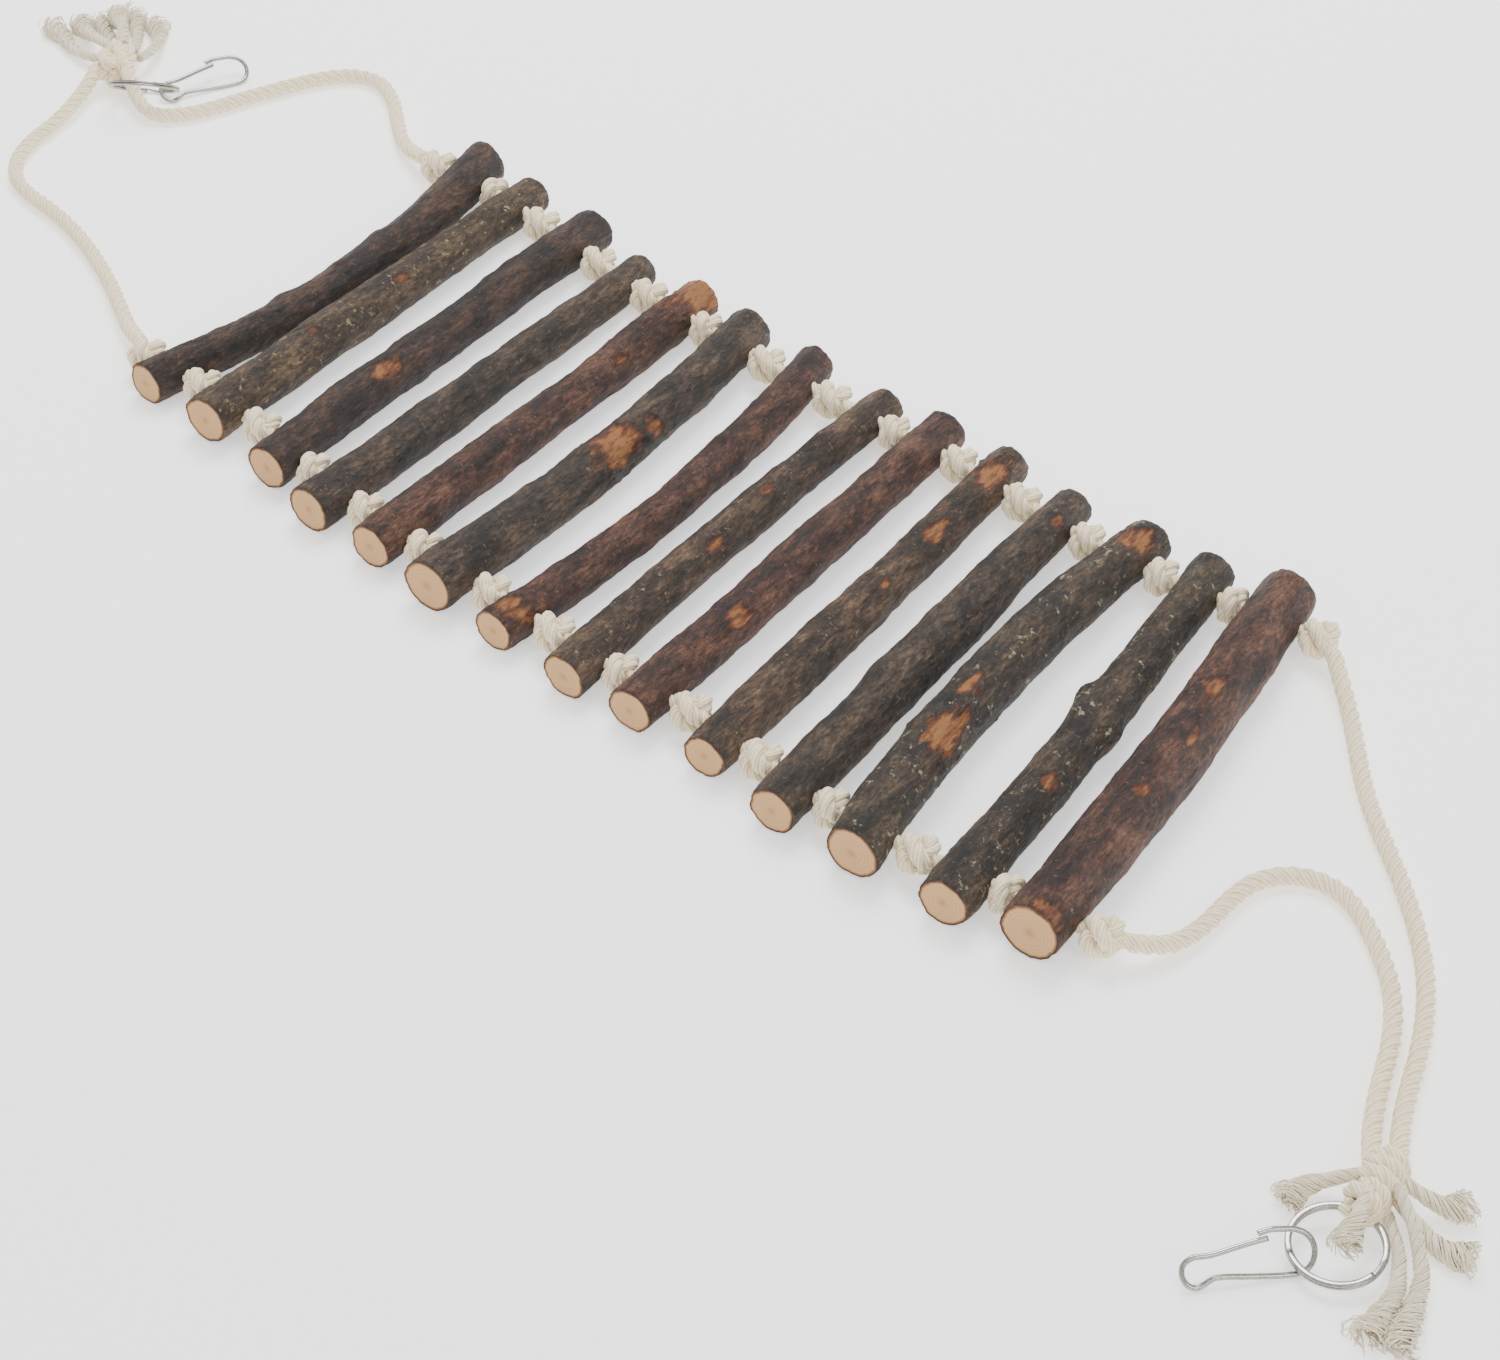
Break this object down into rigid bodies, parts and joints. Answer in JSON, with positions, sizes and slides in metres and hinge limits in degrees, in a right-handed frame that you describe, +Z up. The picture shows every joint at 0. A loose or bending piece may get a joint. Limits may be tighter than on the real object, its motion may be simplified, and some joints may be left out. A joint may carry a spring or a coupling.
{
  "type": "rope ladder",
  "caption": "Small-pet climbing ladder: bark-on branch rungs on knotted cotton ropes, with a rope bridle, split ring and wire clip at each end.",
  "frame": {"origin": "middle of the footprint of the rungs and the knots beside them, on the surface the ladder lies on", "axes": "+X runs from rung 1 to rung 14, +Y from the rungs' right ends to their left ends, +Z up"},
  "size_m": [0.7601, 0.3384, 0.021],
  "materials": {
    "bark_wood": "rough bark",
    "cotton_rope": "matte, three-strand laid",
    "cotton_strand": "matte, frayed",
    "nickel_plated_steel": "polished"
  },
  "bodies": {
    "rung_01_body": {"rung_01": "bark_wood", "rope_right_01": "cotton_rope", "rope_left_01": "cotton_rope", "outer_knot_right": "cotton_rope", "outer_knot_left": "cotton_rope"},
    "rung_02_body": {"rung_02": "bark_wood", "rope_right_02": "cotton_rope", "rope_left_02": "cotton_rope"},
    "rung_03_body": {"rung_03": "bark_wood", "rope_right_03": "cotton_rope", "rope_left_03": "cotton_rope"},
    "rung_04_body": {"rung_04": "bark_wood", "rope_right_04": "cotton_rope", "rope_left_04": "cotton_rope"},
    "rung_05_body": {"rung_05": "bark_wood", "rope_right_05": "cotton_rope", "rope_left_05": "cotton_rope"},
    "rung_06_body": {"rung_06": "bark_wood", "rope_right_06": "cotton_rope", "rope_left_06": "cotton_rope"},
    "rung_07_body": {"rung_07": "bark_wood", "rope_right_07": "cotton_rope", "rope_left_07": "cotton_rope"},
    "rung_08_body": {"rung_08": "bark_wood", "rope_right_08": "cotton_rope", "rope_left_08": "cotton_rope"},
    "rung_09_body": {"rung_09": "bark_wood", "rope_right_09": "cotton_rope", "rope_left_09": "cotton_rope"},
    "rung_10_body": {"rung_10": "bark_wood", "rope_right_10": "cotton_rope", "rope_left_10": "cotton_rope"},
    "rung_11_body": {"rung_11": "bark_wood", "rope_right_11": "cotton_rope", "rope_left_11": "cotton_rope"},
    "rung_12_body": {"rung_12": "bark_wood", "rope_right_12": "cotton_rope", "rope_left_12": "cotton_rope"},
    "rung_13_body": {"rung_13": "bark_wood", "rope_right_13": "cotton_rope", "rope_left_13": "cotton_rope"},
    "rung_14_body": {"rung_14": "bark_wood", "rope_right_14": "cotton_rope", "rope_left_14": "cotton_rope"},
    "lower_bridle": {"lower_leg_right": "cotton_rope", "lower_leg_left": "cotton_rope", "lower_end_knot": "cotton_rope", "lower_tassel": "cotton_strand"},
    "upper_bridle": {"upper_leg_right": "cotton_rope", "upper_leg_left": "cotton_rope", "upper_end_knot": "cotton_rope", "upper_tassel": "cotton_strand"},
    "lower_ring": {"lower_split_ring": "nickel_plated_steel"},
    "lower_clip": {"lower_clip_frame": "nickel_plated_steel"},
    "lower_gate": {"lower_clip_gate": "nickel_plated_steel"},
    "upper_ring": {"upper_split_ring": "nickel_plated_steel"},
    "upper_clip": {"upper_clip_frame": "nickel_plated_steel"},
    "upper_gate": {"upper_clip_gate": "nickel_plated_steel"}
  },
  "joints": [
    {"name": "fold_07_08", "type": "hinge", "parent": "rung_07_body", "child": "rung_08_body", "pos_m": [0.00025, -0.01051, 0.0085], "axis": [0.0166, 0.9999, 0], "range_deg": [-75, 75]},
    {"name": "fold_08_09", "type": "hinge", "parent": "rung_08_body", "child": "rung_09_body", "pos_m": [0.02858, -0.0135, 0.0085], "axis": [-0.0117, -0.9999, 0], "range_deg": [-75, 75]},
    {"name": "fold_09_10", "type": "hinge", "parent": "rung_09_body", "child": "rung_10_body", "pos_m": [0.05708, -0.0155, 0.0085], "axis": [0, 1, 0], "range_deg": [-75, 75]},
    {"name": "fold_10_11", "type": "hinge", "parent": "rung_10_body", "child": "rung_11_body", "pos_m": [0.08659, -0.021, 0.0085], "axis": [0.0124, -0.9999, 0], "range_deg": [-75, 75]},
    {"name": "fold_11_12", "type": "hinge", "parent": "rung_11_body", "child": "rung_12_body", "pos_m": [0.11553, -0.02601, 0.0085], "axis": [-0.0175, 0.9998, 0], "range_deg": [-60, 60]},
    {"name": "fold_12_13", "type": "hinge", "parent": "rung_12_body", "child": "rung_13_body", "pos_m": [0.14627, -0.0275, 0.0085], "axis": [0.04, -0.9992, 0], "range_deg": [-75, 75]},
    {"name": "fold_13_14", "type": "hinge", "parent": "rung_13_body", "child": "rung_14_body", "pos_m": [0.17418, -0.02646, 0.0085], "axis": [-0.0661, 0.9978, 0], "range_deg": [-75, 75]},
    {"name": "lower_bridle_fold", "type": "hinge", "parent": "rung_14_body", "child": "lower_bridle", "pos_m": [0.20569, -0.02495, 0.0085], "axis": [0.0725, -0.9974, 0], "range_deg": [-60, 60]},
    {"name": "fold_06_07", "type": "hinge", "parent": "rung_07_body", "child": "rung_06_body", "pos_m": [-0.02962, -0.00651, 0.0085], "axis": [0.0046, 1, 0], "range_deg": [-75, 75]},
    {"name": "fold_05_06", "type": "hinge", "parent": "rung_06_body", "child": "rung_05_body", "pos_m": [-0.06068, -0.00201, 0.0085], "axis": [-0.0202, -0.9998, 0], "range_deg": [-75, 75]},
    {"name": "fold_04_05", "type": "hinge", "parent": "rung_05_body", "child": "rung_04_body", "pos_m": [-0.08946, 0.00249, 0.0085], "axis": [0.022, 0.9998, 0], "range_deg": [-75, 75]},
    {"name": "fold_03_04", "type": "hinge", "parent": "rung_04_body", "child": "rung_03_body", "pos_m": [-0.11753, 0.0085, 0.0085], "axis": [-0.0274, -0.9996, 0], "range_deg": [-75, 75]},
    {"name": "fold_02_03", "type": "hinge", "parent": "rung_03_body", "child": "rung_02_body", "pos_m": [-0.14904, 0.0165, 0.0085], "axis": [0.0119, 0.9999, 0], "range_deg": [-75, 75]},
    {"name": "fold_01_02", "type": "hinge", "parent": "rung_02_body", "child": "rung_01_body", "pos_m": [-0.17953, 0.02242, 0.0085], "axis": [-0.0432, -0.9991, 0], "range_deg": [-60, 60]},
    {"name": "upper_bridle_fold", "type": "hinge", "parent": "rung_01_body", "child": "upper_bridle", "pos_m": [-0.20815, 0.02485, 0.0085], "axis": [0.0468, 0.9989, 0], "range_deg": [-60, 60]},
    {"name": "lower_ring_swing", "type": "hinge", "parent": "lower_bridle", "child": "lower_ring", "pos_m": [0.319, -0.1475, 0.0055], "axis": [1, 0, 0], "range_deg": [-60, 25]},
    {"name": "upper_ring_swing", "type": "hinge", "parent": "upper_bridle", "child": "upper_ring", "pos_m": [-0.3468, 0.0716, 0.009], "axis": [-0.3867, 0.6866, -0.6157], "range_deg": [-30, 15]},
    {"name": "lower_clip_swing", "type": "hinge", "parent": "lower_ring", "child": "lower_clip", "pos_m": [0.31154, -0.17111, 0.00406], "axis": [0.8192, -0.5725, -0.035], "range_deg": [-60, 45]},
    {"name": "lower_gate_spring", "type": "hinge", "parent": "lower_clip", "child": "lower_gate", "pos_m": [0.2909, -0.18795, 0.00726], "axis": [-0.5417, 0.5417, -0.6428], "range_deg": [0, 20], "stiffness_Nm_per_rad": 0.005},
    {"name": "upper_clip_swing", "type": "hinge", "parent": "upper_ring", "child": "upper_clip", "pos_m": [-0.33163, 0.08888, 0.00305], "axis": [-0.9063, 0.0947, -0.412], "range_deg": [-45, 75]},
    {"name": "upper_gate_spring", "type": "hinge", "parent": "upper_clip", "child": "upper_gate", "pos_m": [-0.33485, 0.08979, 0.00511], "axis": [-0.4763, 0.2323, -0.848], "range_deg": [0, 20], "stiffness_Nm_per_rad": 0.005}
  ]
}
